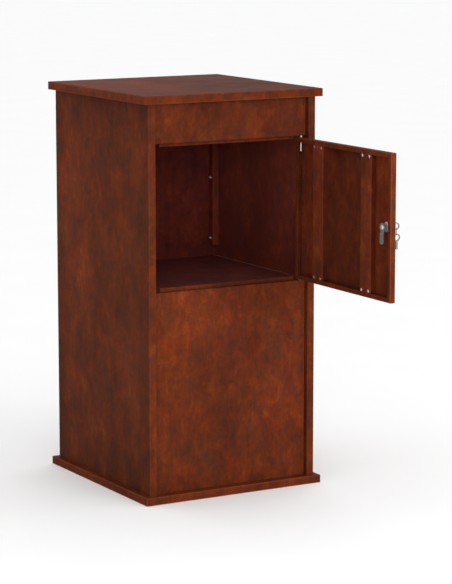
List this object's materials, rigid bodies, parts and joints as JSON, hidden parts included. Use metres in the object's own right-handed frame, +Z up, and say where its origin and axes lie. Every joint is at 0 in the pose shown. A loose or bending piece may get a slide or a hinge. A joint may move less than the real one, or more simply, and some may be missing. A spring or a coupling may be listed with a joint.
{
  "type": "rusty mailbox",
  "caption": "Free-standing parcel mailbox in rusted weathering-steel sheet, with an overhanging cover and base and a key-locked parcel door hinged on the right, standing open.",
  "frame": {"origin": "centre of the base's underside, in the plane it stands on", "axes": "+Z up, -Y out of the front with the door, +X towards the hinge side"},
  "size_m": [0.498, 0.9135, 1],
  "materials": {
    "rust_sheet": "weathered rust patina, satin",
    "rust_inner": "weathered rust patina, satin",
    "zinc": "bright zinc plate",
    "lock_chrome": "bright plate",
    "lock_brass": "plain",
    "key_nickel": "nickel plate"
  },
  "bodies": {
    "cabinet": {"base_plate": "rust_sheet", "top_cover": "rust_sheet", "left_side_panel": "rust_sheet", "right_side_panel": "rust_sheet", "rear_panel": "rust_sheet", "front_header": "rust_sheet", "front_lower_panel": "rust_sheet", "compartment_floor": "rust_inner", "rear_post_left": "rust_inner", "rear_post_right": "rust_inner", "rear_post_studs": "zinc", "rear_post_nuts": "zinc", "cover_studs": "zinc", "cover_nuts": "zinc", "base_screws": "zinc", "base_nuts": "zinc", "hinge_washer": "zinc"},
    "door": {"door_panel": "rust_sheet", "door_strap_hinge_side": "rust_sheet", "door_strap_lock_side": "rust_sheet", "door_strap_rivets": "zinc", "upper_hinge_pin": "zinc", "lower_hinge_pin": "zinc", "hinge_sleeves": "zinc", "lock_body": "lock_chrome", "lock_nut": "zinc"},
    "plug": {"lock_plug": "lock_chrome", "lock_wafers": "lock_brass", "lock_cam": "zinc", "cam_screw": "zinc"},
    "key": {"key": "key_nickel"},
    "key_ring": {"key_ring": "key_nickel"},
    "spare_key": {"spare_key": "key_nickel"}
  },
  "joints": [
    {"name": "door_hinge", "type": "hinge", "parent": "cabinet", "child": "door", "pos_m": [0.204, -0.234, 0.7], "axis": [0, 0, 1], "range_deg": [-90, 15]},
    {"name": "lock_turn", "type": "hinge", "parent": "door", "child": "plug", "pos_m": [0.204, -0.619, 0.7], "axis": [1, 0, 0], "range_deg": [-90, 0]},
    {"name": "key_slide", "type": "slide", "parent": "plug", "child": "key", "axis": [1, 0, 0], "range_m": [0, 0.03]},
    {"name": "ring_swing", "type": "hinge", "parent": "key", "child": "key_ring", "pos_m": [0.2319, -0.619, 0.6935], "axis": [1, 0, 0], "range_deg": [-90, 90]},
    {"name": "spare_key_swing", "type": "hinge", "parent": "key_ring", "child": "spare_key", "pos_m": [0.2319, -0.619, 0.678], "axis": [0, 1, 0], "range_deg": [-15, 15]}
  ]
}
